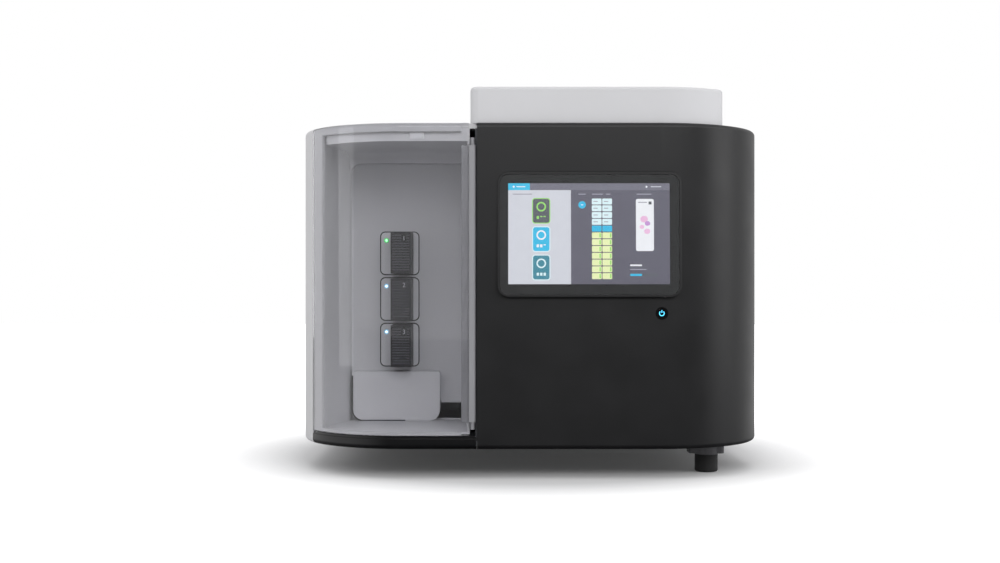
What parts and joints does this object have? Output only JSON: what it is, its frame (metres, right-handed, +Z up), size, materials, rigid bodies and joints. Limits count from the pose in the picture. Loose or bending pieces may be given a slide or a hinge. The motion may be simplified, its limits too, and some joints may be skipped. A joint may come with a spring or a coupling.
{
  "type": "digital slide scanner",
  "caption": "Bench-top scanner for microscope slides: a rounded box with a clear curved loading door, slide racks behind it, a touch display and a raised hood over the camera.",
  "frame": {"origin": "on the floor, under the middle of the scanner's bounding box", "axes": "+Z up, the front with the door and the display faces -Y, +X to the right seen from the front"},
  "size_m": [0.646, 0.6, 0.5275],
  "materials": {
    "black_cover": "moulded, fine matt texture",
    "pale_cover": "moulded, fine matt texture",
    "pale_hood": "moulded, matt",
    "grey_liner": "moulded, satin",
    "clear_door": "clear acrylic, slightly smoked",
    "pale_rim": "moulded, satin",
    "gloss_trim": "moulded, polished",
    "steel_sheet": "zinc-plated sheet",
    "steel_painted": "powder coated",
    "rear_sheet": "powder coated",
    "dark_plastic": "moulded, matt",
    "rack_plastic": "moulded, matt",
    "slide_glass": "ground edges, frosted label end",
    "light_pipe": "clear light pipe",
    "gloss_black": "moulded, satin black",
    "cover_glass": "flat cover glass over the screen",
    "screen": "lit liquid crystal panel",
    "rubber": "moulded rubber",
    "collar_metal": "powder coated",
    "aluminium": "milled, clear anodised",
    "black_anodised": "black anodised",
    "ground_steel": "ground and hardened",
    "chrome_screw": "nickel plated",
    "board_green": "solder mask",
    "nickel": "nickel plated",
    "cast_table": "machined and painted"
  },
  "bodies": {
    "housing": {"base_plate": "steel_sheet", "base_trim": "gloss_trim", "front_cover": "black_cover", "left_housing": "pale_cover", "right_panel": "pale_cover", "rear_panel": "rear_sheet", "top_deck": "pale_cover", "top_hood": "pale_hood", "inner_frame": "steel_painted", "bay_liner": "grey_liner", "bay_lower_panel": "grey_liner", "rack_ports": "grey_liner", "status_lights": "light_pipe", "door_catch": "dark_plastic", "door_hinge_brackets": "dark_plastic", "display_bezel": "gloss_black", "display_glass": "cover_glass", "lcd_panel": "screen", "power_button_ring": "gloss_black", "power_switch": "dark_plastic", "mains_inlet": "dark_plastic", "network_sockets": "nickel", "cover_screws": "chrome_screw", "fan_housings": "dark_plastic", "control_board": "board_green", "power_supply": "steel_sheet", "foot_pads": "rubber", "foot_mounts": "collar_metal", "optics_base": "cast_table", "isolators": "rubber", "optics_column": "aluminium", "linear_rails": "ground_steel", "scan_camera": "black_anodised", "illuminator": "black_anodised", "lift_tower": "aluminium", "lift_motor": "black_anodised"},
    "door": {"door_window": "clear_door", "door_rim": "pale_rim", "door_stile": "aluminium", "door_hinge_pins": "ground_steel"},
    "rack_top": {"rack_1": "rack_plastic", "slides_1": "slide_glass"},
    "rack_middle": {"rack_2": "rack_plastic", "slides_2": "slide_glass"},
    "rack_bottom": {"rack_3": "rack_plastic", "slides_3": "slide_glass"},
    "power_button": {"power_button_cap": "gloss_black", "power_symbol": "light_pipe"},
    "rocker": {"mains_rocker": "gloss_black"},
    "fan_left": {"fan_rotor_1": "dark_plastic"},
    "fan_right": {"fan_rotor_2": "dark_plastic"},
    "focus": {"focus_carriage": "aluminium", "objective": "nickel"},
    "stage_lower": {"stage_y": "black_anodised"},
    "stage_upper": {"stage_x": "black_anodised", "stage_slide": "slide_glass"},
    "lift_screw": {"lift_screw": "ground_steel"},
    "lift": {"lift_carriage": "aluminium"},
    "turret": {"gripper_turret": "aluminium"},
    "arm": {"gripper_arm": "black_anodised"}
  },
  "joints": [
    {"name": "door_hinge", "type": "hinge", "parent": "housing", "child": "door", "pos_m": [-0.08, -0.2885, 0.262], "axis": [0, 0, 1], "range_deg": [0, 100]},
    {"name": "rack_top_slide", "type": "slide", "parent": "housing", "child": "rack_top", "axis": [0, -1, 0], "range_m": [0, 0.03]},
    {"name": "rack_middle_slide", "type": "slide", "parent": "housing", "child": "rack_middle", "axis": [0, -1, 0], "range_m": [0, 0.03]},
    {"name": "rack_bottom_slide", "type": "slide", "parent": "housing", "child": "rack_bottom", "axis": [0, -1, 0], "range_m": [0, 0.03]},
    {"name": "power_button_press", "type": "slide", "parent": "housing", "child": "power_button", "axis": [0, 1, 0], "range_m": [0, 0.0015], "stiffness_N_per_m": 600, "springref_m": -0.001},
    {"name": "rocker_tilt", "type": "hinge", "parent": "housing", "child": "rocker", "pos_m": [-0.158, 0.297, 0.09], "axis": [1, 0, 0], "range_deg": [-8, 8]},
    {"name": "fan_left_spin", "type": "hinge", "parent": "housing", "child": "fan_left", "pos_m": [0.06, 0.28, 0.33], "axis": [0, 1, 0], "continuous": true},
    {"name": "fan_right_spin", "type": "hinge", "parent": "housing", "child": "fan_right", "pos_m": [0.17, 0.28, 0.33], "axis": [0, 1, 0], "continuous": true},
    {"name": "lift_travel", "type": "slide", "parent": "housing", "child": "lift", "axis": [0, 0, 1], "range_m": [-0.096, 0.094]},
    {"name": "lift_screw_spin", "type": "hinge", "parent": "housing", "child": "lift_screw", "pos_m": [-0.1857, 0.143, 0.26], "axis": [0, 0, 1], "range_deg": [-3459, 3386]},
    {"name": "turret_turn", "type": "hinge", "parent": "lift", "child": "turret", "pos_m": [-0.1857, 0.06, 0.235], "axis": [0, 0, 1], "range_deg": [0, 90]},
    {"name": "arm_reach", "type": "slide", "parent": "turret", "child": "arm", "axis": [0, -1, 0], "range_m": [0, 0.085]},
    {"name": "stage_y_travel", "type": "slide", "parent": "housing", "child": "stage_lower", "axis": [0, 1, 0], "range_m": [-0.03, 0.03]},
    {"name": "stage_x_travel", "type": "slide", "parent": "stage_lower", "child": "stage_upper", "axis": [1, 0, 0], "range_m": [-0.085, 0.035]},
    {"name": "focus_travel", "type": "slide", "parent": "housing", "child": "focus", "axis": [0, 0, 1], "range_m": [-0.002, 0.002]}
  ],
  "couplings": [
    {"joint": "lift_screw_spin", "follows": "lift_travel", "rad_per_m": 628.32}
  ]
}
